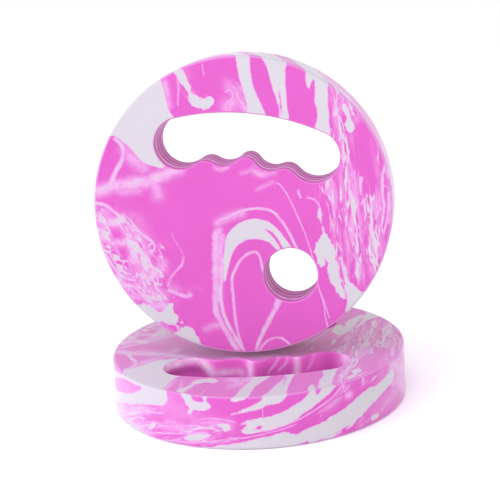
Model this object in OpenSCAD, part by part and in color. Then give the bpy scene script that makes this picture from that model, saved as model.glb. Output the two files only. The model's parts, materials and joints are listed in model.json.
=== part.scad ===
// Pair of foam hand discs for water exercise.
// Each disc is one piece of closed-cell foam with a finger slot and a thumb hole cut
// right through it. One disc lies on its face and the other stands on its rim on top.
// The origin is the centre of the lying disc's underside, +Z is up, and the standing
// disc's front face looks along -Y and a little upwards, because that disc leans back.
// All sizes are in millimetres.

/* [Disc] */
// Diameter of each disc
disc_d = 200; // [180:5:240]
// Thickness of each disc
disc_t = 36; // [25:1:50]
// Radius of the rounded outer edges
edge_r = 1.5; // [0.5:0.25:4]

/* [Finger slot] */
// Radius of the slot's round ends, which hold the first and the fourth finger
end_r = 17; // [15:0.5:18]
// Distance of each end's centre from the slot's middle
end_x = 45; // [42:0.5:50]
// Height of each end's centre above the disc's centre
end_y = 37.5; // [36:0.5:39]
// Radius of the long arc along the slot's outer side
top_r = 160; // [120:5:300]
// Radius of the two grooves for the middle fingers
groove_r = 13; // [12:0.5:14]
// Distance of each groove's centre from the slot's middle
groove_x = 16; // [15:0.5:17]
// Height of each groove's floor above the disc's centre
groove_y = 25.5; // [24:0.5:27]
// Radius of the ridge between the two grooves
ridge_r = 8; // [6:0.5:10]
// Radius of the ridges between the grooves and the slot's ends
side_ridge_r = 10; // [8:0.5:12]

/* [Thumb hole] */
// Radius of the thumb hole
thumb_r = 18; // [15:0.5:20]
// Distance of the thumb hole to the right of the disc's centre
thumb_x = 36.5; // [30:0.5:42]
// Distance of the thumb hole below the disc's centre
thumb_drop = 43; // [36:0.5:48]

/* [Placing] */
// Turn of the lying disc about the vertical, in degrees
lying_turn = 4.5; // [-20:0.5:20]
// Turn of the standing disc about its own axis, in degrees
standing_turn = -7.5; // [-15:0.5:15]
// How far the standing disc leans back from upright, in degrees
standing_lean = 6.5; // [0:0.5:10]
// Distance of the standing disc's centre to the side of the lying disc's centre
standing_x = -3; // [-15:0.5:15]
// Distance of the standing disc's centre behind the lying disc's centre
standing_y = 2; // [-10:0.5:15]
// Gap between the standing disc's rim and the face below it
rest_gap = 0.3; // [0.1:0.1:0.5]

/* [Hidden] */
$fn = 128;
through = 1;                                // how far each cutter runs past a face
lap = 0.01;                                 // neighbouring arcs cross by this much
disc_r = disc_d / 2;
foam_pink = [0.93, 0.42, 0.82];
// Height of the leaning disc's centre above its lowest point, which is on its rear edge.
centre_rise = edge_r + (disc_r - edge_r) * cos(standing_lean)
    + (disc_t / 2 - edge_r) * sin(standing_lean);

// Centre of the circle that touches two circles from below. Each radius is the sum
// of that circle's own radius and the touching circle's radius.
function below(a, a_sum, b, b_sum) =
    let (gap = norm(b - a), way = (b - a) / gap,
         along = (a_sum * a_sum - b_sum * b_sum + gap * gap) / (2 * gap),
         down = sqrt(a_sum * a_sum - along * along))
    a + along * way + down * [way.y, -way.x];
function flip(p) = [-p.x, p.y];

end_c = [end_x, end_y];
groove_c = [groove_x, groove_y + groove_r];
ridge_c = below(flip(groove_c), groove_r + ridge_r, groove_c, groove_r + ridge_r);
side_ridge_c = below(groove_c, groove_r + side_ridge_r, end_c, end_r + side_ridge_r);
// The long arc meets both round ends smoothly, so its centre follows from their places.
top_c = [0, end_y - sqrt((top_r - end_r) * (top_r - end_r) - end_x * end_x)];
end_way = (end_c - top_c) / norm(end_c - top_c);
past_arc = end_c + 2 * end_r * end_way;     // a corner just outside the long arc

module circle_at(centre, radius) {
    translate(centre) circle(r = radius);
}

// The slot's outline: round ends and grooves joined by a field whose corners are the
// centres of the arcs, so every two arcs meet along the line between their centres.
// They cross by a hair there, which leaves no sliver between them.
module slot_outline() {
    difference() {
        union() {
            for (c = [end_c, flip(end_c)]) circle_at(c, end_r);
            for (c = [groove_c, flip(groove_c)]) circle_at(c, groove_r);
            intersection() {
                circle_at(top_c, top_r - lap);
                polygon([past_arc, flip(past_arc), flip(end_c), flip(side_ridge_c),
                         flip(groove_c), ridge_c, groove_c, side_ridge_c, end_c]);
            }
        }
        circle_at(ridge_c, ridge_r + lap);
        for (c = [side_ridge_c, flip(side_ridge_c)]) circle_at(c, side_ridge_r + lap);
    }
}

// Half section of the disc, with both outer edges rounded.
module rim_section() {
    square([disc_r - edge_r, disc_t]);
    translate([0, edge_r]) square([disc_r, disc_t - 2 * edge_r]);
    for (y = [edge_r, disc_t - edge_r]) circle_at([disc_r - edge_r, y], edge_r);
}

// One disc on the XY plane, seen from its front: +Z out of the front face, +Y up.
module hand_disc() {
    difference() {
        rotate_extrude() rim_section();
        translate([0, 0, -through]) linear_extrude(disc_t + 2 * through) slot_outline();
        translate([thumb_x, -thumb_drop, -through]) cylinder(h = disc_t + 2 * through, r = thumb_r);
    }
}

// Lies on its front face, with the slot towards -Y.
module lower_disc() {
    color(foam_pink)
        rotate([0, 0, lying_turn]) translate([0, 0, disc_t]) rotate([180, 0, 0]) hand_disc();
}

// Stands on its rim over the lying disc and leans back.
module upper_disc() {
    color(foam_pink)
        translate([standing_x, standing_y, disc_t + rest_gap + centre_rise])
            rotate([90 - standing_lean, 0, 0]) rotate([0, 0, standing_turn])
                translate([0, 0, -disc_t / 2]) hand_disc();
}

lower_disc();
upper_disc();
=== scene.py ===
"""A pair of marbled foam hand discs for water exercise.

One disc lies flat and the other stands on its rim on top of it.
"""

import json
from math import atan2, ceil, cos, hypot, pi, radians, sin, sqrt

import bpy
import numpy as np
from mathutils import Matrix, Vector
from mathutils.geometry import delaunay_2d_cdt


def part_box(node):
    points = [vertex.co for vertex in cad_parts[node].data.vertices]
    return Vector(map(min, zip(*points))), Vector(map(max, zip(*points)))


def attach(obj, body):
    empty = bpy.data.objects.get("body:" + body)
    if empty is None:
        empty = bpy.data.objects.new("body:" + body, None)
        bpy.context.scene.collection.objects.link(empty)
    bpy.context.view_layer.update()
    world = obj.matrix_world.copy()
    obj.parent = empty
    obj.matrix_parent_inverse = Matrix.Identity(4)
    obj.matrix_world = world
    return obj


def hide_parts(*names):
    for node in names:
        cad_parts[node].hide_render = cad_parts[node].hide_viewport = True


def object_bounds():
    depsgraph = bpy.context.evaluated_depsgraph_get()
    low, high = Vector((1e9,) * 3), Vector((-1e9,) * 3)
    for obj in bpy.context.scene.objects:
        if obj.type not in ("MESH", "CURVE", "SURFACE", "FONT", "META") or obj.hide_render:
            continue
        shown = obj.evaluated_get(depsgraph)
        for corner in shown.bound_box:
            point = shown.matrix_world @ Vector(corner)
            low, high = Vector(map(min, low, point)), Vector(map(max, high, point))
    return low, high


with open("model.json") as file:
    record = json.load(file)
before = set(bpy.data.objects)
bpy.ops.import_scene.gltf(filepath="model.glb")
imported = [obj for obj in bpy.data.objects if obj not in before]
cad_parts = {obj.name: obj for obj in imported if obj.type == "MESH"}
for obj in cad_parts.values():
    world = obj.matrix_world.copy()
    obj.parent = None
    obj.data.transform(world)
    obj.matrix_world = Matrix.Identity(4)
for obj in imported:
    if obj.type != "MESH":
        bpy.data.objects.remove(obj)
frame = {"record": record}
cad_low, cad_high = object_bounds()


# ---------------------------------------------------------------------------
# Camera. A short telephoto a little above the pair and in front of it, a few
# degrees to the right, tipped down and turned slightly about its view.
# ---------------------------------------------------------------------------

CAMERA_AZIMUTH = radians(7.45)
CAMERA_ELEVATION = radians(16.26)
CAMERA_ROLL = radians(-3.60)
CAMERA_DISTANCE = 1.2497
AIM_HEIGHT = 0.4370     # share of the pair's height that the middle of the view looks at
SENSOR_WIDTH = 36       # millimetres
FOCAL_LENGTH = 132.7    # millimetres

across = Vector((cos(CAMERA_AZIMUTH), sin(CAMERA_AZIMUTH), 0))
rise = Vector((
    -sin(CAMERA_AZIMUTH) * sin(CAMERA_ELEVATION),
    cos(CAMERA_AZIMUTH) * sin(CAMERA_ELEVATION),
    cos(CAMERA_ELEVATION),
))
view_right = across * cos(CAMERA_ROLL) + rise * sin(CAMERA_ROLL)
view_up = rise * cos(CAMERA_ROLL) - across * sin(CAMERA_ROLL)
backwards = across.cross(rise)

aim = (cad_low + cad_high) / 2
aim.z = cad_low.z + AIM_HEIGHT * (cad_high.z - cad_low.z)
camera = bpy.data.objects.new("camera", bpy.data.cameras.new("camera"))
camera.data.sensor_width = SENSOR_WIDTH
camera.data.lens = FOCAL_LENGTH
turn = Matrix((view_right, view_up, backwards)).transposed()
camera.matrix_world = Matrix.Translation(aim + backwards * CAMERA_DISTANCE) @ turn.to_4x4()
bpy.context.scene.collection.objects.link(camera)
bpy.context.scene.camera = camera


# ---------------------------------------------------------------------------
# Studio. A pale floor without a horizon, a white room, and soft boxes: a strong
# one on the left, a low one in front under the camera and one overhead.
# ---------------------------------------------------------------------------

def linear(hex_colour):
    """Turns an sRGB hex colour into linear red, green, blue and alpha."""
    parts = [int(hex_colour[i:i + 2], 16) / 255 for i in (1, 3, 5)]
    return [p / 12.92 if p <= 0.04045 else ((p + 0.055) / 1.055) ** 2.4 for p in parts] + [1]


def add(tree, kind, settings, inputs, output=0):
    """Adds a shader node with its settings and inputs (values or links) and returns an output."""
    node = tree.nodes.new("ShaderNode" + kind)
    for name, value in settings.items():
        setattr(node, name, value)
    for name, value in inputs.items():
        if isinstance(value, bpy.types.NodeSocket):
            tree.links.new(value, node.inputs[name])
        else:
            node.inputs[name].default_value = value
    return node.outputs[output]


FLOOR_SIZE = 60.0
FLOOR_DROP = 0.0002     # keeps the floor off the plane of the lying disc's underside
FLOOR_PAINT = linear("#FEFEFE")
ROOM_WHITE = linear("#FFFFFF")
ROOM_STRENGTH = 0.92
SOFT_BOXES = {
    # name: (place, size, watts, colour), in metres
    "left_soft_box": ((-2.2, -0.4, 0.4), 1.2, 32, "#EDE0FF"),
    "front_soft_box": ((0.2, -1.4, 0.25), 0.8, 9, "#FFF8FE"),
    "top_soft_box": ((-0.2, -0.7, 1.9), 1.6, 15, "#DDD2FF"),
}

floor_mesh = bpy.data.meshes.new("studio_floor")
half = FLOOR_SIZE / 2
floor_mesh.from_pydata(
    [(-half, -half, 0), (half, -half, 0), (half, half, 0), (-half, half, 0)], [], [(0, 1, 2, 3)])
floor = bpy.data.objects.new("studio_floor", floor_mesh)
floor.location.z = cad_low.z - FLOOR_DROP
bpy.context.scene.collection.objects.link(floor)

paint = bpy.data.materials.new("matt_white_paint")
paint.use_nodes = True
paint_shader = paint.node_tree.nodes["Principled BSDF"]
paint_shader.inputs["Base Color"].default_value = FLOOR_PAINT
paint_shader.inputs["Roughness"].default_value = 0.9
floor_mesh.materials.append(paint)

room = bpy.data.worlds.new("white_room")
room.use_nodes = True
room.node_tree.nodes["Background"].inputs["Color"].default_value = ROOM_WHITE
room.node_tree.nodes["Background"].inputs["Strength"].default_value = ROOM_STRENGTH
bpy.context.scene.world = room

for name, (place, size, watts, tint) in SOFT_BOXES.items():
    lamp = bpy.data.lights.new(name, "AREA")
    lamp.size = size
    lamp.energy = watts
    lamp.color = linear(tint)[:3]
    box = bpy.data.objects.new(name, lamp)
    box.location = place
    box.rotation_mode = "QUATERNION"
    box.rotation_quaternion = (aim - box.location).to_track_quat("-Z", "Y")
    bpy.context.scene.collection.objects.link(box)

bpy.context.scene.view_settings.view_transform = "Standard"


# ---------------------------------------------------------------------------
# Hand disc. A blank of closed-cell EVA foam 36 mm thick, cut round by a die,
# with a finger slot and a thumb hole cut right through; every cut edge is
# eased. Both discs are the same, so one mesh is made and placed twice.
# The disc's own frame is (u, v, w) in millimetres: u to the right and v towards
# the finger slot, seen on the face that shows, and w into the foam from there.
# ---------------------------------------------------------------------------

MM = 0.001
lying_low, lying_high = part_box("lower_disc")
DISC_R = (lying_high.x - lying_low.x) / 2 / MM
DISC_T = (lying_high.z - lying_low.z) / MM
RIM_EASE = 1.5          # radius of the eased outer edges
CUT_EASE = 1.1          # radius of the eased edges of the slot and the hole
THUMB = (36.5, -43.0)
THUMB_R = 18.0
END, END_R = (45.0, 37.5), 17.0
GROOVE, GROOVE_R = (16.0, 38.5), 13.0
RIDGE_R, SIDE_RIDGE_R = 8.0, 10.0
LONG_ARC_R = 160.0

RING_STEP = 1.1         # spacing of the points along a cut edge
WALL_STEP = 1.4         # spacing of the rows down a cut wall
FACE_STEP = 0.82        # spacing of the points on the face that shows
BACK_STEP = 1.7         # spacing of the points on the other face
EASE_ROWS = 3


def flip(point):
    return (-point[0], point[1])


def below(a, a_sum, b, b_sum):
    """Centre of the circle that touches two circles from below, each at the sum of both radii."""
    gap = hypot(b[0] - a[0], b[1] - a[1])
    way = ((b[0] - a[0]) / gap, (b[1] - a[1]) / gap)
    along = (a_sum ** 2 - b_sum ** 2 + gap ** 2) / (2 * gap)
    down = sqrt(a_sum ** 2 - along ** 2)
    return (a[0] + along * way[0] + down * way[1], a[1] + along * way[1] - down * way[0])


RIDGE = below(flip(GROOVE), GROOVE_R + RIDGE_R, GROOVE, GROOVE_R + RIDGE_R)
SIDE_RIDGE = below(GROOVE, GROOVE_R + SIDE_RIDGE_R, END, END_R + SIDE_RIDGE_R)
LONG_ARC = (0.0, END[1] - sqrt((LONG_ARC_R - END_R) ** 2 - END[0] ** 2))

# The slot's outline runs anticlockwise as circles that touch: centre, radius, and
# whether the circle bulges out of the slot (True) or into it (False).
SLOT_CIRCLES = [
    (END, END_R, True),
    (LONG_ARC, LONG_ARC_R, True),
    (flip(END), END_R, True),
    (flip(SIDE_RIDGE), SIDE_RIDGE_R, False),
    (flip(GROOVE), GROOVE_R, True),
    (RIDGE, RIDGE_R, False),
    (GROOVE, GROOVE_R, True),
    (SIDE_RIDGE, SIDE_RIDGE_R, False),
]


def touch_angles(circle, other):
    """Angle, seen from the first circle's centre, of the point where two touching circles meet."""
    (a, a_r, _), (b, b_r, _) = circle, other
    big, big_r, small = (a, a_r, b) if a_r > b_r else (b, b_r, a)
    gap = hypot(small[0] - big[0], small[1] - big[1])
    meet = [big[i] + big_r * (small[i] - big[i]) / gap for i in (0, 1)]
    return atan2(meet[1] - a[1], meet[0] - a[0])


def cut_ring(circles):
    """Points round a cut, with at each the direction into the foam."""
    points, inwards = [], []
    for i, (centre, radius, bulges_out) in enumerate(circles):
        start, end = 0.0, 2 * pi
        if len(circles) > 1:
            start = touch_angles(circles[i], circles[i - 1])
            end = touch_angles(circles[i], circles[(i + 1) % len(circles)])
            end += 2 * pi * ((start > end) - (start < end)) if bulges_out == (start > end) else 0
        steps = max(2, ceil(abs(end - start) * radius / RING_STEP))
        for angle in np.linspace(start, end, steps, endpoint=False):
            way = np.array((cos(angle), sin(angle)))
            points.append(np.array(centre) + radius * way)
            inwards.append(way if bulges_out else -way)
    return np.array(points), np.array(inwards)


rim_points, rim_outwards = cut_ring([((0.0, 0.0), DISC_R, True)])
rings = {
    "rim": (rim_points, -rim_outwards, RIM_EASE),
    "slot": (*cut_ring(SLOT_CIRCLES), CUT_EASE),
    "thumb": (*cut_ring([(THUMB, THUMB_R, True)]), CUT_EASE),
}


def wall_rows(ease):
    """Rows down a cut wall as (inset, depth): an eased edge, the straight wall, an eased edge."""
    arc = [pi / 2 * k / EASE_ROWS for k in range(EASE_ROWS + 1)]
    top = [(ease * (1 - sin(a)), ease * (1 - cos(a))) for a in arc]
    straight = DISC_T - 2 * ease
    count = ceil(straight / WALL_STEP)
    middle = [(0.0, ease + straight * k / count) for k in range(1, count)]
    return top + middle + [(inset, DISC_T - depth) for inset, depth in reversed(top)]


def inside(points, outline):
    """True for each point inside a closed outline."""
    ends = np.roll(outline, -1, axis=0)
    result = np.zeros(len(points), bool)
    for (x0, y0), (x1, y1) in zip(outline, ends):
        if y0 != y1:
            crosses = (points[:, 1] < y0) != (points[:, 1] < y1)
            at = x0 + (points[:, 1] - y0) * (x1 - x0) / (y1 - y0)
            result ^= crosses & (points[:, 0] < at)
    return result


def away_from(points, outline):
    """Distance of each point to the nearest point of an outline."""
    return np.min([np.hypot(points[:, 0] - x, points[:, 1] - y) for x, y in outline], axis=0)


def face_points(step, edges):
    """Points in rows, each row shifted by half a step, that fill a face between its edges."""
    rows = []
    row_step = step * sqrt(3) / 2
    for k in range(int(2 * DISC_R / row_step) + 1):
        v = -DISC_R + k * row_step
        u = np.arange(-DISC_R + step / 2 * (k % 2), DISC_R, step)
        rows.append(np.column_stack([u, np.full(len(u), v)]))
    points = np.concatenate(rows)
    keep = np.hypot(points[:, 0], points[:, 1]) < DISC_R - RIM_EASE - 0.6 * step
    for name in ("slot", "thumb"):
        near = away_from(points, edges[name]) < 0.6 * step
        keep &= ~inside(points, edges[name]) & ~near
    return points[keep]


def disc_shape():
    """Vertices (u, v, w), faces, and each vertex's share of a cut's wall and of an eased edge."""
    vertices, on_cut, eased, faces = [], [], [], []
    edge_ids = {"front": {}, "back": {}}
    count = 0
    for name, (points, inwards, ease) in rings.items():
        rows = wall_rows(ease)
        size = len(points)
        for inset, depth in rows:
            vertices.append(np.column_stack([points + inset * inwards, np.full(size, depth)]))
            on_cut.append(np.full(size, 0.0 if name == "rim" else 1 - inset / ease))
            eased.append(np.full(size, 1 - abs(2 * inset / ease - 1)))
        for row in range(len(rows) - 1):
            for i in range(size):
                j = (i + 1) % size
                a, b = count + row * size, count + (row + 1) * size
                quad = (a + i, a + j, b + j, b + i)
                faces.append(quad if name == "rim" else quad[::-1])
        edge_ids["front"][name] = range(count, count + size)
        edge_ids["back"][name] = range(count + (len(rows) - 1) * size, count + len(rows) * size)
        count += len(rows) * size
    for side, step, depth in (("front", FACE_STEP, 0.0), ("back", BACK_STEP, DISC_T)):
        edges = {n: points + ease * inwards for n, (points, inwards, ease) in rings.items()}
        fill = face_points(step, edges)
        flat, ids, cuts = [], [], []
        for name, edge in edges.items():
            start = len(ids)
            flat.extend(edge)
            ids.extend(edge_ids[side][name])
            cuts.extend((start + i, start + (i + 1) % len(edge)) for i in range(len(edge)))
        flat.extend(fill)
        ids.extend(range(count, count + len(fill)))
        vertices.append(np.column_stack([fill, np.full(len(fill), depth)]))
        on_cut.append(np.zeros(len(fill)))
        eased.append(np.zeros(len(fill)))
        count += len(fill)
        made, _, triangles, origins, _, _ = delaunay_2d_cdt(
            [Vector(p) for p in flat], cuts, [], 0, 1e-5)
        triangles = np.array(triangles)
        centres = np.array([tuple(p) for p in made])[triangles].mean(axis=1)
        keep = ~inside(centres, edges["slot"]) & ~inside(centres, edges["thumb"])
        names = np.array([ids[o[0]] for o in origins])
        kept = names[triangles[keep]]
        faces.extend(map(tuple, kept if side == "back" else kept[:, ::-1]))
    return np.concatenate(vertices), faces, np.concatenate(on_cut), np.concatenate(eased)


shape, shape_faces, shape_on_cut, shape_eased = disc_shape()


# ---------------------------------------------------------------------------
# Marbling. White and pink foam crumbs are pressed into one block and flow
# before it sets, so white lies in the pink as bars, swirled veins and shreds.
# Each list below is one family of white, in millimetres on the face that shows.
# ---------------------------------------------------------------------------

# White patches with clear edges: how ragged the edge is, and the outline.
PATCHES = [
    (0.4, [(-13, 104), (-11.5, 96), (-9.5, 88), (-7, 80), (-4, 72), (-2, 66), (-2, 60), (10, 60),
           (8.5, 66), (4.5, 73), (0.5, 81), (-2, 90), (-4.5, 104)]),
    (0.4, [(4, 104), (9, 93), (13, 82), (17, 73), (19.5, 66), (20, 60), (26, 60), (24, 70),
           (22, 82), (21, 92), (21, 104)]),
    (0.5, [(32, 103), (34.5, 92), (36, 84), (39, 80), (42, 74), (45, 66), (44.5, 55), (54, 50),
           (53, 60), (51, 72), (50, 82), (49.5, 92), (46, 103)]),
    (1.0, [(60, 74), (63, 74), (66, 67), (69.5, 59), (66.5, 56), (63.5, 60), (64, 66), (61.5, 69)]),
    (1.5, [(-54, 88), (-49, 86.5), (-44, 83), (-41, 77), (-38.5, 70.5), (-31, 70), (-28, 70.5),
           (-24.5, 69), (-24, 65), (-28, 62.5), (-35, 62.5), (-39, 64.5), (-41.5, 70), (-44, 75),
           (-48, 79), (-51, 82)]),
    (0.4, [(-104, 38), (-90, 38.5), (-84, 35.5), (-78, 31.5), (-73, 26.5), (-68, 22.5), (-60, 20.5),
           (-54, 21), (-58, 34), (-54, 50), (-50, 54), (-53, 58), (-55.5, 64), (-58.5, 73),
           (-61, 80), (-63, 87), (-78, 74), (-94, 54)]),
    (1.5, [(51.5, 4), (53.5, -2), (55, -8), (58, -13), (61.5, -17), (63.5, -22), (65.5, -28),
           (67, -34), (69.5, -41), (72, -48), (74, -55), (70, -53), (66.5, -48.5), (63, -43),
           (60.5, -38.5), (59.5, -34), (56, -35.5), (53, -31), (50.8, -26), (51.5, -22), (54, -17),
           (54.5, -12), (53, -6), (51, -1)]),
    (1.0, [(72, -36), (75, -42), (79, -45), (83.5, -49), (89, -50), (84, -62), (76, -66),
           (75.5, -57), (75, -49), (73, -43)]),
    (1.8, [(-68, -80), (-63, -74), (-57, -73), (-53, -77), (-49, -78), (-46, -74), (-42, -71),
           (-40, -76), (-36, -78.5), (-38, -84), (-43, -86.5), (-48, -84), (-56, -90)]),
    (1.4, [(-42, -92), (-36, -89.5), (-31, -86.5), (-27, -87), (-24, -91), (-20, -96), (-16, -99.5),
           (-22, -105), (-34, -100)]),
    (0.4, [(-9, -40), (-9.5, -30), (-8.5, -22), (-5, -15.5), (1, -10.5), (8, -8), (14, -8),
           (20, -9.5), (26, -14), (31, -19), (36, -26), (31, -28), (25.5, -26.5), (20, -22.5),
           (12, -21), (5, -22.5), (-0.5, -26.5), (-3.5, -32), (-5.5, -40), (-7, -52), (-8.6, -50)]),
]

# Pink tongues that cut into those patches.
TONGUES = [
    [(40, 102), (42, 93), (41.4, 91), (39.8, 96)],
    [(38.5, 86), (40.5, 88), (41.6, 82), (42, 75), (40, 76), (38, 79.5)],
    [(16, -13.5), (21, -15), (25, -18.5), (30, -25.5), (28, -26), (23.5, -20), (19, -16)],
    [(57.6, -26), (58.8, -29), (61, -33), (59.5, -35), (58, -30)],
    [(17.6, 80), (20.2, 72), (21.0, 64), (20.2, 64), (19.2, 71)],
]

# Veins in four sets, so that neighbours lie in different sets:
# half width at the start and at the end, strength, and the points along it.
VEINS = [
    [
        (0.9, 0.9, 0.65, [(-17, -12), (-10, -9), (-4, -5.5), (4, -2), (12, -0.5), (19, -1),
                          (25, -5), (31, -12), (36, -20), (41, -28)]),
        (0.5, 0.5, 0.5, [(52, -39), (56, -50), (60, -60), (63, -72), (66, -80)]),
        (1.2, 1.0, 0.8, [(-101, -8), (-93, -8.5), (-86, -12), (-78, -18), (-70, -23), (-62, -28),
                         (-56, -31.5)]),
        (0.7, 0.6, 0.5, [(-54, -34), (-50, -42), (-51, -52)]),
        (0.8, 0.8, 0.6, [(19, -99), (22, -93), (26, -88.5), (31, -86.5), (36, -87.5), (42, -92)]),
        (0.9, 0.6, 0.45, [(-50, 84), (-48.5, 74), (-48, 62)]),
        (0.7, 0.5, 0.6, [(54, 90), (56, 80), (57, 70), (60, 58), (62, 50)]),
        (1.3, 0.8, 0.7, [(77, 28), (77, 22), (78.5, 15)]),
        (0.8, 0.5, 0.6, [(-88, -39), (-83.5, -46), (-77.5, -51.5), (-70, -54.5)]),
    ],
    [
        (1.0, 0.9, 0.62, [(13, -102), (9, -97), (4, -85), (1, -72), (-1, -60), (-2.5, -50),
                          (0, -41), (3, -35), (8, -31), (12, -30), (15, -33), (17, -40),
                          (21, -50)]),
        (0.5, 0.5, 0.5, [(20, 16), (23, 17.5), (28, 12.5), (33, 5), (38, -4), (44, -15), (49, -27),
                         (52, -36)]),
        (1.5, 1.6, 0.7, [(-90, 38), (-85, 34), (-82, 28), (-83, 22), (-86, 16), (-88, 10),
                         (-90, 4)]),
        (1.0, 0.8, 0.8, [(-92, -37), (-87, -45.5), (-81, -52.5), (-74, -57), (-66, -58)]),
        (1.2, 1.4, 0.6, [(-46, -62), (-40, -63.5), (-33, -65), (-28, -63)]),
        (1.0, 0.8, 0.7, [(93, 40), (91, 30), (92, 18), (94, 8), (93, -6)]),
        (0.5, 0.4, 0.45, [(-34, 92), (-33, 87), (-32, 84)]),
    ],
    [
        (0.9, 2.0, 0.75, [(16, -103), (18, -95), (21, -85), (24.5, -76), (27.5, -68), (31, -59)]),
        (1.7, 2.4, 0.62, [(8, -101), (3, -95), (-3, -87), (-9, -78), (-12, -70), (-13, -60),
                          (-14, -45), (-15, -30), (-15, -20), (-11, -14)]),
        (0.9, 1.1, 0.40, [(-36, -37), (-37, -43), (-41, -49), (-44, -54), (-45.5, -61)]),
        (0.9, 0.6, 0.6, [(36.5, 15), (37, 12), (39, 9)]),
        (0.9, 0.8, 0.7, [(-77, -21), (-71, -24.5), (-66, -29.5), (-63, -37)]),
        (0.7, 0.6, 0.55, [(-18, 74), (-15, 76), (-12, 74), (-13, 70), (-16, 67), (-15, 62)]),
        (1.2, 0.6, 0.6, [(96, 20), (97, 5), (95, -10)]),
        (0.9, 0.7, 0.6, [(-84, -41), (-80, -45), (-73, -45.5)]),
    ],
    [
        (1.0, 1.5, 0.8, [(10, -99), (4, -91), (-2, -82), (-7, -72), (-9.5, -60), (-10, -45),
                         (-9.5, -34)]),
        (0.5, 0.5, 0.5, [(55, -48), (60, -58), (65, -70)]),
        (0.7, 0.6, 0.5, [(42, 10), (47, 9.5), (51, 6), (54, -2)]),
        (0.8, 0.8, 0.65, [(-61, -35), (-59, -31.5), (-56.5, -32.5), (-57, -36), (-60, -38)]),
        (0.6, 0.4, 0.22, [(-46, -22), (-43, -28), (-39, -33), (-36, -39)]),
        (0.8, 0.6, 0.6, [(-10, 76), (-8, 71), (-5, 68), (-3, 63)]),
        (0.7, 0.6, 0.5, [(-58, 76), (-56, 69), (-54, 62)]),
    ],
]

# Soft pale bands where the two colours have mixed: half width, strength, points.
HAZES = [
    (4.0, 0.70, [(-98, 0), (-88, 4), (-76, 7.5), (-65, 10), (-57, 14), (-50, 18), (-44, 21)]),
    (3.0, 0.40, [(-90, 3), (-80, 2), (-70, 4)]),
    (4.0, 0.40, [(-62, 10), (-58, 6), (-57, 1)]),
    (4.5, 0.42, [(-80, 29), (-76, 24), (-68, 19)]),
    (3.0, 0.45, [(-15, -13), (-8, -8), (0, -5)]),
    (2.4, 0.58, [(-11.5, -22), (-12.2, -36), (-12, -50), (-10.5, -64)]),
    (5.5, 0.46, [(-14, 65), (-8, 68), (-3, 66)]),
    (3.0, 0.36, [(-10, 76), (-5, 79)]),
    (2.2, 0.45, [(6, 24), (12, 22.5), (19, 25)]),
    (1.6, 0.38, [(-20, 24), (-16, 23), (-12, 25)]),
    (1.6, 0.30, [(-2, 22), (3, 24), (6, 27)]),
    (1.5, 0.30, [(9, 12), (14, 15), (19, 18)]),
    (2.6, 0.34, [(-17, -86), (-12, -83), (-8, -83)]),
    (4.5, 0.28, [(-86, 58), (-83, 50), (-83, 44)]),
    (2.4, 0.45, [(-58, 77), (-56, 70), (-54, 62)]),
    (3.6, 0.85, [(-97, -17), (-90, -19), (-84, -20), (-80, -17)]),
    (2.6, 0.85, [(-92, -31), (-86, -34), (-78, -33)]),
    (3.6, 0.95, [(-74, -31), (-70, -37), (-69, -44)]),
    (3.6, 0.95, [(-64, -39), (-62, -47), (-61, -56), (-55, -52)]),
    (3.0, 0.90, [(-90, -50), (-83, -57), (-75, -62), (-66, -62)]),
    (3.2, 0.80, [(-68, -68), (-60, -68), (-54, -73), (-46, -73)]),
    (2.5, 0.55, [(96, 42), (98, 20), (99, 0)]),
]

# Shreds of white: half width, how much of it is white, and the line they lie on.
SHREDS = [
    (6.0, 0.95, [(54, 95), (56, 80), (58, 66), (61, 52)]),
    (4.0, 0.80, [(61, 86), (65, 76), (69, 66)]),
    (5.0, 1.00, [(64, 54), (66, 38), (67, 24), (65, 12)]),
    (5.0, 0.95, [(71, 28), (73, 14), (76, 0)]),
    (7.0, 0.85, [(55, 22), (58, 12), (62, 0), (66, -10)]),
    (8.0, 1.00, [(72, 8), (75, -6), (79, -22), (83, -36)]),
    (5.0, 0.75, [(93, 44), (94, 28), (97, 10)]),
    (8.0, 1.00, [(84, 14), (87, -2), (90, -16), (90, -34)]),
    (5.0, 0.90, [(66, -20), (70, -32), (74, -44), (77, -56)]),
    (3.0, 0.45, [(84, 50), (87, 40), (88, 30)]),
    (9.0, 0.88, [(-94, -16), (-90, -30), (-85, -44), (-76, -56)]),
    (9.0, 0.92, [(-74, -22), (-67, -36), (-62, -50), (-58, -62)]),
    (5.0, 0.85, [(-52, -36), (-51, -46), (-53, -58)]),
    (7.0, 0.95, [(-74, -66), (-60, -66), (-48, -67)]),
    (5.0, 0.95, [(-76, -70), (-66, -78), (-56, -86)]),
    (3.0, 0.60, [(-44, -62), (-34, -64), (-26, -61)]),
    (4.0, 0.60, [(-46, -60), (-40, -62)]),
    (5.0, 0.75, [(-54, -85), (-44, -89), (-34, -86)]),
    (5.0, 0.75, [(-14, 79), (-8, 72), (-8, 64)]),
    (4.0, 0.50, [(-46, 84), (-44, 74), (-32, 68)]),
]
# On the right the shreds run along this line. On the left they slant down to the right.
# Their widths and lengths are in millimetres.
SHRED_FLOW = [(46, 100), (54, 75), (60, 50), (65, 25), (69, 0), (73, -20), (78, -40), (82, -60)]
CURL_SLANT = radians(-47)
SHRED_WIDTH, SHRED_LENGTH = 2.8, 15.0
CURL_WIDTH, CURL_LENGTH = 4.2, 9.0

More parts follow.
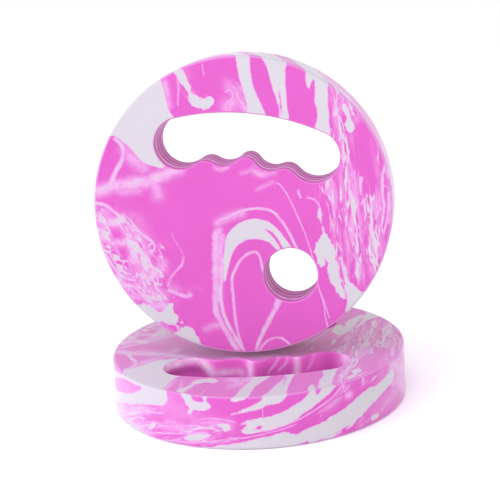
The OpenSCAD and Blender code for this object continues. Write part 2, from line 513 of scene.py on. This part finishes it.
# On the lying disc the front of the rim shows bars that lean as they go down.
# Outlines there are (degrees round the rim from the slot, depth in millimetres).
RIM_PATCHES = [
    (0.5, [(-48, -2), (-36.5, -2), (-34.8, 3), (-35, 7), (-36.5, 10), (-40, 11.5), (-48, 14),
           (-54, 17), (-60, 20), (-68, 23), (-78, 27), (-90, 32), (-96, 28), (-88, 25), (-78, 20),
           (-68, 15.5), (-59, 12), (-53, 8), (-49, 4)]),
    (0.5, [(-48, -1), (-60, 0), (-68, 2), (-76, 5), (-84, 9.5), (-94, 13), (-92, 17), (-83, 13.5),
           (-74, 9), (-68, 6), (-64, 3.8), (-56, 2.4), (-49, 2.2)]),
    (0.7, [(-29, -2), (-27, 3), (-26.5, 7), (-25, 9), (-26, 13), (-24.6, 13.4), (-23.2, 9.8),
           (-20.5, 10.2), (-17.6, 9.4), (-16, 7), (-16.6, 5), (-17.8, 2.6), (-17.2, -2),
           (-19.6, -1), (-19, 3), (-21, 4.4), (-23.6, 3), (-25, -2)]),
    (0.8, [(-8.6, 1.6), (-6.2, -1), (-2, -1), (-3, 1.2), (-6, 2.8)]),
    (0.6, [(4, -2), (12.6, -2), (11.6, 1.5), (9.4, 4.8), (5, 6), (2.6, 7.6), (-1.6, 9.6), (-9, 12),
           (-6, 9.6), (-2, 6.6), (1.6, 4), (3.4, 1.5)]),
    (0.9, [(21.8, -2), (20.4, 2), (17.6, 5.8), (13.6, 9.4), (9.6, 12), (5.4, 13.6), (0.4, 15),
           (-4.4, 17), (-6, 20), (-4.6, 24), (2.4, 24), (8.4, 22), (14.4, 18.4), (19, 14), (23, 10),
           (27, 6.4), (30, 3), (32, -2)]),
    (1.0, [(64.6, 6), (58.4, 8), (52.4, 10), (48, 10), (44.4, 11), (40.4, 13.6), (36.4, 16.6),
           (31.4, 19.4), (27.4, 22.4), (20.4, 25.4), (14.4, 28), (10, 25.6), (2.6, 28), (-7, 31),
           (-16, 34), (-31, 38), (20, 38), (29, 34.6), (37, 31.6), (41, 28), (47, 23), (52, 20),
           (58, 17), (65, 13.6)]),
    (0.8, [(-28.6, 31), (-26.6, 28), (-21.6, 26.4), (-16.6, 26), (-19.6, 29), (-24.6, 31.4)]),
    (0.9, [(-14.4, 19), (-12, 18), (-9.6, 19), (-9.4, 22), (-11.6, 23.4), (-12.6, 21.4)]),
    (1.0, [(-45.6, 29), (-43.6, 25), (-41.6, 24.4), (-42.2, 27.6), (-45.6, 31), (-49.6, 32)]),
    (1.0, [(48, 30.4), (53, 30), (52, 32.4), (49, 33)]),
]
RIM_TONGUES = [
    [(-7, 21), (-4.6, 18.8), (-2.4, 18.4), (-4, 20.4), (-5, 22.4)],
    [(-1.6, 22.6), (0.6, 20.4), (3, 19.6), (1.6, 21.8)],
    [(23.6, -2), (26.4, -2), (25, 2.4), (23.4, 4)],
    [(33, 17), (29, 20.4), (22, 24.4), (14.4, 28.2), (16, 25), (19, 22), (21.6, 18.6)],
    [(15, 37), (16, 35), (19.6, 34), (18, 37)],
    [(22, 36.2), (29, 34), (36, 31.4), (36, 30.6), (29, 33), (22, 35.4)],
]
RIM_VEINS = [
    (0.8, 0.6, 0.6, [(-17, 24.6), (-27, 27), (-37, 30), (-47, 33), (-57, 36)]),
    (0.7, 0.7, 0.6, [(-36, 16), (-48, 19), (-60, 24), (-72, 29)]),
    (0.8, 0.5, 0.6, [(-12, 23), (-22, 21), (-32, 23), (-42, 27)]),
    (0.6, 0.5, 0.6, [(35.4, 0), (30.4, 7), (23.4, 13), (14.4, 19), (2.4, 24.4)]),
    (0.7, 0.6, 0.5, [(-22, 17), (-17, 14.8), (-10, 15.6), (-6.6, 18)]),
    (0.5, 0.5, 0.5, [(-10, 29), (0, 26.4), (8, 24), (16, 20.6)]),
    (0.35, 0.35, 0.4, [(3, -2), (3, 12), (3, 24), (3, 38)]),
    (0.7, 0.6, 0.5, [(-14, 30), (-26, 33), (-38, 35)]),
]
RIM_HAZES = [
    (7.0, 0.22, [(50, 27), (62, 24), (70, 18)]),
    (12.0, 0.25, [(-90, 6), (-60, 8), (-38, 8), (-22, 20)]),
    (10.0, 1.0, [(-96, 28), (-80, 30), (-64, 33), (-50, 37)]),
    (4.0, 0.70, [(-84, 28), (-70, 24), (-56, 20), (-46, 17)]),
    (3.0, 0.45, [(-36, 22), (-28, 22)]),
    (4.0, 0.42, [(-20, 19), (-10, 19)]),
    (1.8, 0.60, [(35, -1), (35, 3)]),
    (1.4, 0.50, [(45, 0), (44.6, 5)]),
    (2.4, 0.50, [(38, 9), (36.4, 9)]),
    (6.0, 0.62, [(64, 4), (72, 10), (82, 20), (90, 30)]),
    (5.0, 0.50, [(66, 16), (74, 22), (84, 34)]),
    (6.0, 0.55, [(78, 0), (90, 10)]),
]
RIM_SHREDS = [
    (4.0, 0.85, [(-14, 22), (-28, 24), (-44, 27), (-58, 31)]),
    (4.0, 0.75, [(-8, 28), (-18, 31), (-32, 33), (-46, 35)]),
    (3.0, 0.66, [(37, 3), (31, 11), (25, 17)]),
    (6.0, 0.72, [(62, 8), (74, 18), (86, 30)]),
    (5.0, 0.70, [(72, 4), (82, 12), (92, 20)]),
    (4.0, 0.66, [(46, 5), (56, 4)]),
    (4.0, 0.70, [(42, 31), (56, 27), (68, 24)]),
    (6.0, 1.00, [(-50, 24), (-62, 28), (-76, 33), (-88, 36)]),
    (4.0, 0.95, [(-42, 15), (-56, 19), (-68, 25), (-84, 31)]),
]
RIM_LEAN = 0.32         # rise of the shreds there for each millimetre to the right
RIM_SHRED_WIDTH, RIM_SHRED_LENGTH = 1.6, 18.0
RIM_SHOWN = 84          # degrees each way from the slot in which these bars show
RIM_FADE = 8            # degrees before and after that in which they fade out

# Streaks on the walls of the cuts: half width, strength, and where they run. On the standing
# disc they follow the faces and are given by depth. On the lying disc they run down the wall
# and are given by (u, depth); the one at u = -5 is a painted highlight. The walls are a pink
# painted brighter than the face's, for light that reaches into the cuts, with painted shade:
# a share of dark on the standing disc, and a few darker places on the lying disc.
STANDING_PINK = 0.65    # share of clear pink in the standing disc's walls; the rest is painted shade
STANDING_WALL = [(2.2, 0.95, 8), (1.5, 0.85, 18), (1.8, 0.60, 28)]
# Painted shade: the darker places on the lying disc's walls.
LYING_WALL_SHADE = [
    (3.4, 0.50, [(-62, 8.5), (-48, 8.0), (-37, 7.5)]),
    (5.0, 0.20, [(4, 8), (14, 9), (22, 8)]),
    (4.0, 0.25, [(49, 0), (47, 10)]),
]
LYING_WALL = [
    (2.6, 1.00, [(-66, 2.5), (-54, 2.5), (-44, 1.5)]),
    (3.4, 1.00, [(-42, 0), (-36, 3.5), (-31, 9)]),
    (2.4, 0.90, [(-32, 9), (-22, 9), (-11, 10)]),
    # painted highlight down the slot wall
    (2.4, 0.95, [(-5, 0), (-5, 36)]),
    (2.2, 0.75, [(27, 0), (26, 36)]),
    (4.5, 1.00, [(61, 0), (60, 36)]),
    (0.8, 0.50, [(7, 10), (12, 5), (15, 0)]),
    (0.8, 0.50, [(14, 10), (19, 5), (21, 0)]),
    (1.2, 0.35, [(34, 10), (37, 5), (39, 0)]),
]


def curve(points, closed=False, steps=6):
    """A smooth line through the given points."""
    p = np.array(points, float)
    if closed:
        p = np.vstack([p[-1], p, p[:2]])
    else:
        p = np.vstack([2 * p[0] - p[1], p, 2 * p[-1] - p[-2]])
    t = np.linspace(0, 1, steps, endpoint=False)[:, None]
    parts = []
    for a, b, c, d in zip(p, p[1:], p[2:], p[3:]):
        parts.append(0.5 * (2 * b + (c - a) * t + (2 * a - 5 * b + 4 * c - d) * t ** 2
                            + (3 * b - a - 3 * c + d) * t ** 3))
    if not closed:
        parts.append(p[-2:-1])
    return np.concatenate(parts)


def from_line(places, line):
    """Each place's distance to a line, positive on its right, and the share of its length there."""
    lengths = np.hypot(*np.diff(line, axis=0).T)
    starts = np.concatenate([[0], np.cumsum(lengths)])
    best = np.full(len(places), 1e9)
    signed, share = np.zeros(len(places)), np.zeros(len(places))
    for a, b, length, start in zip(line, line[1:], lengths, starts):
        way = (b - a) / length
        along = np.clip((places - a) @ way, 0, length)
        off = places - a - along[:, None] * way
        distance = np.hypot(off[:, 0], off[:, 1])
        nearer = distance < best - 1e-9
        side = np.where(off[:, 0] * way[1] - off[:, 1] * way[0] >= 0, 1.0, -1.0)
        best[nearer] = distance[nearer]
        signed[nearer] = (distance * side)[nearer]
        share[nearer] = (start + along[nearer]) / starts[-1]
    return signed, share


def within(places, points):
    """Distance inside a closed smooth outline, negative outside it."""
    outline = curve(points, closed=True)
    distance = np.abs(from_line(places, np.vstack([outline, outline[:1]]))[0])
    return np.where(inside(places, outline), distance, -distance)


def smooth(low, high, value):
    t = np.clip((value - low) / (high - low), 0, 1)
    return t * t * (3 - 2 * t)


def strokes(places, lines, scale=1):
    """Strength at each place of the strongest of some soft strokes, their points times scale."""
    result = np.zeros(len(places))
    for half_width, strength, points in lines:
        signed, _ = from_line(places, curve(np.array(points, float) * scale))
        result = np.maximum(result, strength * np.exp(-(signed / half_width) ** 2))
    return result


VEIN_GONE, VEIN_FULL = 5.5, 3.5     # millimetres off its line where a vein is gone, and is whole
VEIN_TAPER = 0.06                   # share of a vein's length over which each end fades


def marble(places, scale, patches, tongues, vein_sets, hazes, shreds):
    """The white at each place, as fields for the foam's shader. Points are taken times scale."""
    white, ragged = np.full(len(places), -30.0), np.full(len(places), 0.5)
    for rag, outline in patches:
        depth = within(places, np.array(outline) * scale)
        ragged = np.where(depth > white, rag, ragged)
        white = np.maximum(white, depth)
    for outline in tongues:
        white = np.minimum(white, -within(places, np.array(outline) * scale))
    result = {"white": white, "ragged": ragged}
    for i in range(len(VEINS)):
        nearest = np.full(len(places), 1e9)
        offset, ink = np.full(len(places), 9.0), np.zeros(len(places))
        for start, end, strength, points in vein_sets[i]:
            signed, share = from_line(places, curve(np.array(points, float) * scale))
            width = start + (end - start) * share
            nearer = np.abs(signed) < nearest
            nearest[nearer] = np.abs(signed)[nearer]
            offset[nearer] = (signed / width)[nearer]
            fade = smooth(VEIN_GONE, VEIN_FULL, np.abs(signed))
            fade = fade * smooth(0, VEIN_TAPER, share) * smooth(1, 1 - VEIN_TAPER, share)
            ink[nearer] = (strength * fade)[nearer]
        result[f"vein_{i}"] = np.clip(offset, -6, 6)
        result[f"ink_{i}"] = ink
    result["haze"] = strokes(places, hazes, scale)
    result["shreds"] = strokes(places, shreds, scale)
    return result


def face_fields(vertices, twist):
    """The face's marbling carried down into the foam, turning by twist for each millimetre."""
    u, v, w = vertices.T
    turned = twist * w
    places = np.column_stack([u * np.cos(turned) + v * np.sin(turned),
                              v * np.cos(turned) - u * np.sin(turned)])
    result = marble(places, 1, PATCHES, TONGUES, VEINS, HAZES, SHREDS)
    across_flow, share = from_line(places, curve(SHRED_FLOW))
    slant = np.array((cos(CURL_SLANT), sin(CURL_SLANT)))
    along_slant = places @ slant
    across_slant = places @ np.array((-slant[1], slant[0]))
    left = places[:, 0] < 0
    length = np.hypot(*np.diff(curve(SHRED_FLOW), axis=0).T).sum()
    result["flow_across"] = np.where(left, across_slant / CURL_WIDTH, across_flow / SHRED_WIDTH)
    result["flow_along"] = np.where(left, along_slant / CURL_LENGTH, share * length / SHRED_LENGTH)
    return result


def rim_fields(vertices):
    """The bars on the lying disc's rim, and how far they replace the face's marbling there."""
    u, v, w = vertices.T
    bearing = np.arctan2(u, v)
    places = np.column_stack([bearing * DISC_R, w])
    veins = [RIM_VEINS[i::len(VEINS)] for i in range(len(VEINS))]
    degrees_to_mm = (radians(1) * DISC_R, 1)
    result = marble(places, degrees_to_mm, RIM_PATCHES, RIM_TONGUES, veins, RIM_HAZES, RIM_SHREDS)
    result["flow_across"] = (w + RIM_LEAN * places[:, 0]) / RIM_SHRED_WIDTH
    result["flow_along"] = (places[:, 0] - RIM_LEAN * w) / RIM_SHRED_LENGTH
    from_axis = np.hypot(u, v)
    share = smooth(DISC_R - 2 * RIM_EASE, DISC_R - RIM_EASE / 2, from_axis)
    share = share * smooth(RIM_SHOWN + RIM_FADE, RIM_SHOWN - RIM_FADE, np.abs(np.degrees(bearing)))
    return result, share


# Material: marbled EVA foam, skived smooth. Matt and slightly velvety, so it turns
# paler where it is seen at a low angle, with closed cells that show as a fine grain.
FOAM_PINK = linear("#BF44A5")
DEEP_PINK = linear("#B83F9E")
FOAM_WHITE = linear("#B4B1B4")
LIGHT_PINK = linear("#C68DBD")
# Painted shade: the dark that the walls of the cuts take inside them.
CUT_PAINTED_SHADE = linear("#7E366C")
# Pink of the cut walls, painted brighter than the face's pink to stand in for light reaching into
# the cuts.
CUT_PINK = linear("#D862BC")
# Pale streaks in the walls, and the painted highlight on the lying disc's slot wall.
CUT_LIGHT = linear("#E8C8E2")
WIDE_WAVER = 7.0        # millimetres across a wide waver of the white's edges
FINE_WAVER = 2.0        # and across a fine one
FINE_SHARE = 0.45       # strength of the fine waver beside the wide one
EDGE_WAVER = 3.4        # millimetres that a patch's edge moves with the waver, where it is ragged
VEIN_WAVER = 1.4        # half widths that a vein moves with it
EDGE_BLUR = 0.7         # millimetres each way over which white turns into pink
SHRED_DEPTH = 15.0      # millimetres down into the foam over which the shreds change
SPARSE, DENSE = 0.80, 0.47          # how strong the noise must be to make a shred
VEIL = 0.42             # paleness of the mid tones in among the shreds
BREAK_UP = 0.6          # how far the soft bands break up in among the shreds
EDGE_HIGHLIGHT = 0.45       # painted highlight along an eased edge, where it catches the light
PINK_PATCH = 60.0       # millimetres across a patch of slightly deeper pink
CELL = 1.1              # millimetres between cells, twice the real spacing so that they show
WEAR = 1.5              # millimetres across a spot of duller skin
foam = bpy.data.materials.new("marbled_eva_foam")
foam.use_nodes = True
tree = foam.node_tree
shader = tree.nodes["Principled BSDF"]
shader.inputs["Sheen Roughness"].default_value = 0.45

fields = {}
for name in ("white", "ragged", "haze", "shreds", "flow_across", "flow_along", "cut_wall",
             "cut_pink", "cut_pale", "eased"):
    fields[name] = add(tree, "Attribute", {"attribute_name": name}, {}, "Fac")
own = add(tree, "Attribute", {"attribute_name": "own"}, {}, "Vector")
depth = add(tree, "SeparateXYZ", {}, {"Vector": own}, "Z")

# The edges of the white waver by the sum of a wide and a fine noise, each about zero.
wide = add(tree, "TexNoise", {}, {"Vector": own, "Scale": 1 / WIDE_WAVER, "Detail": 2.0}, "Fac")
fine = add(tree, "TexNoise", {}, {"Vector": own, "Scale": 1 / FINE_WAVER, "Detail": 3.0}, "Fac")
both = add(tree, "Math", {"operation": "MULTIPLY_ADD"}, {0: fine, 1: FINE_SHARE, 2: wide})
wobble = add(tree, "Math", {"operation": "SUBTRACT"}, {0: both, 1: (1 + FINE_SHARE) / 2})
mottle = add(tree, "MapRange", {}, {"Value": wobble, "From Min": -0.2, "From Max": 0.2,
                                    "To Min": 0.6, "To Max": 1.2})
waver = add(tree, "Math", {"operation": "MULTIPLY"}, {0: fields["ragged"], 1: EDGE_WAVER})
edge = add(tree, "Math", {"operation": "MULTIPLY_ADD"}, {0: wobble, 1: waver, 2: fields["white"]})
pale = add(tree, "MapRange", {"interpolation_type": "SMOOTHSTEP"},
           {"Value": edge, "From Min": -EDGE_BLUR, "From Max": EDGE_BLUR})

for i in range(len(VEINS)):
    vein = add(tree, "Attribute", {"attribute_name": f"vein_{i}"}, {}, "Fac")
    ink = add(tree, "Attribute", {"attribute_name": f"ink_{i}"}, {}, "Fac")
    off_line = add(tree, "Math", {"operation": "MULTIPLY_ADD"}, {0: wobble, 1: VEIN_WAVER, 2: vein})
    off_line = add(tree, "Math", {"operation": "ABSOLUTE"}, {0: off_line})
    line = add(tree, "MapRange", {"interpolation_type": "SMOOTHSTEP"},
               {"Value": off_line, "From Min": 1.6, "From Max": 0.2, "To Max": ink})
    line = add(tree, "Math", {"operation": "MULTIPLY"}, {0: line, 1: mottle})
    pale = add(tree, "Math", {"operation": "MAXIMUM"}, {0: pale, 1: line})

# Shreds are a noise drawn out along the flow. In among them the soft bands break up too.
flow = add(tree, "CombineXYZ", {}, {"X": fields["flow_across"], "Y": fields["flow_along"],
                                    "Z": 0.0})
sunk = add(tree, "CombineXYZ", {}, {"Z": depth})
flow = add(tree, "VectorMath", {"operation": "MULTIPLY_ADD"},
           {0: sunk, 1: (1 / SHRED_DEPTH, 1 / SHRED_DEPTH, 1 / SHRED_DEPTH), 2: flow})
shred = add(tree, "TexNoise", {}, {"Vector": flow, "Scale": 1.0, "Detail": 3.0, "Roughness": 0.55,
                                   "Distortion": 1.3}, "Fac")
sparse = add(tree, "MapRange", {}, {"Value": fields["shreds"], "To Min": SPARSE, "To Max": DENSE})
over = add(tree, "Math", {"operation": "SUBTRACT"}, {0: shred, 1: sparse})
shreds = add(tree, "MapRange", {"interpolation_type": "SMOOTHSTEP"},
             {"Value": over, "From Min": -0.05, "From Max": 0.09, "To Max": 0.95})
pale = add(tree, "Math", {"operation": "MAXIMUM"}, {0: pale, 1: shreds})
veil = add(tree, "TexNoise", {}, {"Vector": flow, "Scale": 0.55, "Detail": 3.0,
                                  "Distortion": 0.8}, "Fac")
veil = add(tree, "MapRange", {"interpolation_type": "SMOOTHSTEP"},
           {"Value": veil, "From Min": 0.40, "From Max": 0.60, "To Max": VEIL})
veil = add(tree, "Math", {"operation": "MULTIPLY"}, {0: veil, 1: fields["shreds"]})
pale = add(tree, "Math", {"operation": "MAXIMUM"}, {0: pale, 1: veil})
gap = add(tree, "MapRange", {"interpolation_type": "SMOOTHSTEP"},
          {"Value": shred, "From Min": 0.40, "From Max": 0.58, "To Min": 1.0, "To Max": 0.0})
gap = add(tree, "Math", {"operation": "MULTIPLY"}, {0: gap, 1: fields["shreds"]})
gap = add(tree, "Math", {"operation": "MULTIPLY_ADD"}, {0: gap, 1: -BREAK_UP, 2: 1.0})
haze = add(tree, "Math", {"operation": "MULTIPLY"}, {0: fields["haze"], 1: mottle})
haze = add(tree, "Math", {"operation": "MULTIPLY"}, {0: haze, 1: gap})
pale = add(tree, "Math", {"operation": "MAXIMUM"}, {0: pale, 1: haze})
# A painted highlight along the eased edges.
edge_highlight = add(tree, "Math", {"operation": "MULTIPLY"}, {0: fields["eased"], 1: EDGE_HIGHLIGHT})
pale = add(tree, "Math", {"operation": "MAXIMUM"}, {0: pale, 1: edge_highlight})

# Pink, light pink and white in turn, then the walls of the cuts, with their painted shade and
# painted light.
shade = add(tree, "TexNoise", {}, {"Vector": own, "Scale": 1 / PINK_PATCH, "Detail": 3.0}, "Fac")
shade = add(tree, "MapRange", {}, {"Value": shade, "From Min": 0.3, "From Max": 0.7})
pinks = add(tree, "Mix", {"data_type": "RGBA"}, {"Factor": shade, 6: FOAM_PINK, 7: DEEP_PINK}, 2)
to_light = add(tree, "MapRange", {}, {"Value": pale, "From Max": 0.5})
to_white = add(tree, "MapRange", {}, {"Value": pale, "From Min": 0.5})
mixed = add(tree, "Mix", {"data_type": "RGBA"}, {"Factor": to_light, 6: pinks, 7: LIGHT_PINK}, 2)
face_colour = add(tree, "Mix", {"data_type": "RGBA"},
                  {"Factor": to_white, 6: mixed, 7: FOAM_WHITE}, 2)
cut_pale = add(tree, "Math", {"operation": "MULTIPLY"}, {0: fields["cut_pale"], 1: mottle})
cut_base = add(tree, "Mix", {"data_type": "RGBA"},
               {"Factor": fields["cut_pink"], 6: CUT_PAINTED_SHADE, 7: CUT_PINK}, 2)
cut_colour = add(tree, "Mix", {"data_type": "RGBA"},
                 {"Factor": cut_pale, 6: cut_base, 7: CUT_LIGHT}, 2)
colour = add(tree, "Mix", {"data_type": "RGBA"},
             {"Factor": fields["cut_wall"], 6: face_colour, 7: cut_colour}, 2)
tree.links.new(colour, shader.inputs["Base Color"])

# The cut walls are dull, and the rest has the velvet, the cells' grain and duller spots.
velvet = add(tree, "MapRange", {}, {"Value": fields["cut_wall"], "To Min": 0.5, "To Max": 0.05})
tree.links.new(velvet, shader.inputs["Sheen Weight"])
dull = add(tree, "MapRange", {}, {"Value": fields["cut_wall"], "To Min": 0.5, "To Max": 0.1})
tree.links.new(dull, shader.inputs["Specular IOR Level"])
cells = add(tree, "TexVoronoi", {"feature": "F1"}, {"Vector": own, "Scale": 1 / CELL}, "Distance")
bump = add(tree, "Bump", {}, {"Strength": 0.12, "Distance": 0.0004, "Height": cells})
tree.links.new(bump, shader.inputs["Normal"])
worn = add(tree, "TexNoise", {}, {"Vector": own, "Scale": 1 / WEAR}, "Fac")
worn = add(tree, "MapRange", {}, {"Value": worn, "From Min": 0.3, "From Max": 0.7,
                                  "To Min": 0.52, "To Max": 0.62})
tree.links.new(worn, shader.inputs["Roughness"])


def place_disc(name, body, to_world, marbling):
    """Makes one disc. to_world turns its own (u, v, w) in millimetres into metres in the frame."""
    mesh = bpy.data.meshes.new(name)
    world = np.column_stack([shape, np.ones(len(shape))]) @ np.array(to_world).T[:, :3]
    mirrored = to_world.to_3x3().determinant() < 0
    faces = [f[::-1] for f in shape_faces] if mirrored else shape_faces
    mesh.from_pydata(world.tolist(), [], [tuple(int(i) for i in f) for f in faces])
    mesh.shade_smooth()
    own_place = mesh.attributes.new("own", "FLOAT_VECTOR", "POINT")
    own_place.data.foreach_set("vector", shape.astype(np.float32).ravel())
    for field_name, values in {**marbling, "cut_wall": shape_on_cut, "eased": shape_eased}.items():
        attribute = mesh.attributes.new(field_name, "FLOAT", "POINT")
        attribute.data.foreach_set("value", values.astype(np.float32))
    mesh.materials.append(foam)
    disc = bpy.data.objects.new("foam_" + name, mesh)
    bpy.context.scene.collection.objects.link(disc)
    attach(disc, body)
    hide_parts(name)


holes = {m["name"]: Vector(m["pos_m"]) for m in frame["record"]["mounts"]}
thumb_angle = atan2(THUMB[1], THUMB[0])

# Lying disc: one piece of marbled EVA foam. It lies on its front face, so its other face
# shows and the slot points to -Y. Down its rim the marbling turns about the axis, because
# the block was sheared as it was pressed.
LYING_TWIST = radians(1.8)
centre = (lying_low + lying_high) / 2
to_hole = holes["lower_thumb_hole"] - centre
lying_turn = atan2(to_hole.y, to_hole.x) + thumb_angle
lying = (Matrix.Translation((centre.x, centre.y, lying_high.z))
         @ Matrix.Rotation(lying_turn, 4, "Z") @ Matrix.Rotation(pi, 4, "X") @ Matrix.Scale(MM, 4))
turned = face_fields(shape, LYING_TWIST)
bars, share = rim_fields(shape)
lying_marbling = {name: turned[name] * (1 - share) + bars[name] * share for name in turned}
# Painted shade in a few places on its cut walls, and pale streaks with one painted highlight.
lying_marbling["cut_pink"] = 1 - strokes(shape[:, [0, 2]], LYING_WALL_SHADE)
lying_marbling["cut_pale"] = strokes(shape[:, [0, 2]], LYING_WALL)
place_disc("lower_disc", "lower", lying, lying_marbling)

# Standing disc: one piece of marbled EVA foam, loose on its rim on the lying disc. It leans
# back, so its thumb hole's axis points forwards and a little up. Its marbling runs almost
# straight through.
STANDING_TWIST = radians(0.25)
low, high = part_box("upper_disc")
centre = (low + high) / 2
axis = Vector(next(m["axis"] for m in frame["record"]["mounts"] if m["name"] == "upper_thumb_hole"))
lean = atan2(axis.z, -axis.y)
to_hole = holes["upper_thumb_hole"] - centre
standing_turn = atan2(to_hole.dot(Vector((0, sin(lean), cos(lean)))), to_hole.x) - thumb_angle
swap = Matrix(((1, 0, 0, 0), (0, 0, 1, 0), (0, 1, 0, 0), (0, 0, 0, 1)))
standing = (Matrix.Translation(centre) @ Matrix.Rotation(-lean, 4, "X")
            @ Matrix.Rotation(-standing_turn, 4, "Y") @ swap @ Matrix.Scale(MM, 4)
            @ Matrix.Translation((0, 0, -DISC_T / 2)))
standing_marbling = face_fields(shape, STANDING_TWIST)
# Its cut walls are partly dark, which is painted shade, with pale streaks along the faces.
standing_marbling["cut_pink"] = np.full(len(shape), STANDING_PINK)
streaks = []
for half_width, strength, at in STANDING_WALL:
    streaks.append(strength * np.exp(-((shape[:, 2] - at) / half_width) ** 2))
standing_marbling["cut_pale"] = np.max(streaks, axis=0)
place_disc("upper_disc", "upper", standing, standing_marbling)
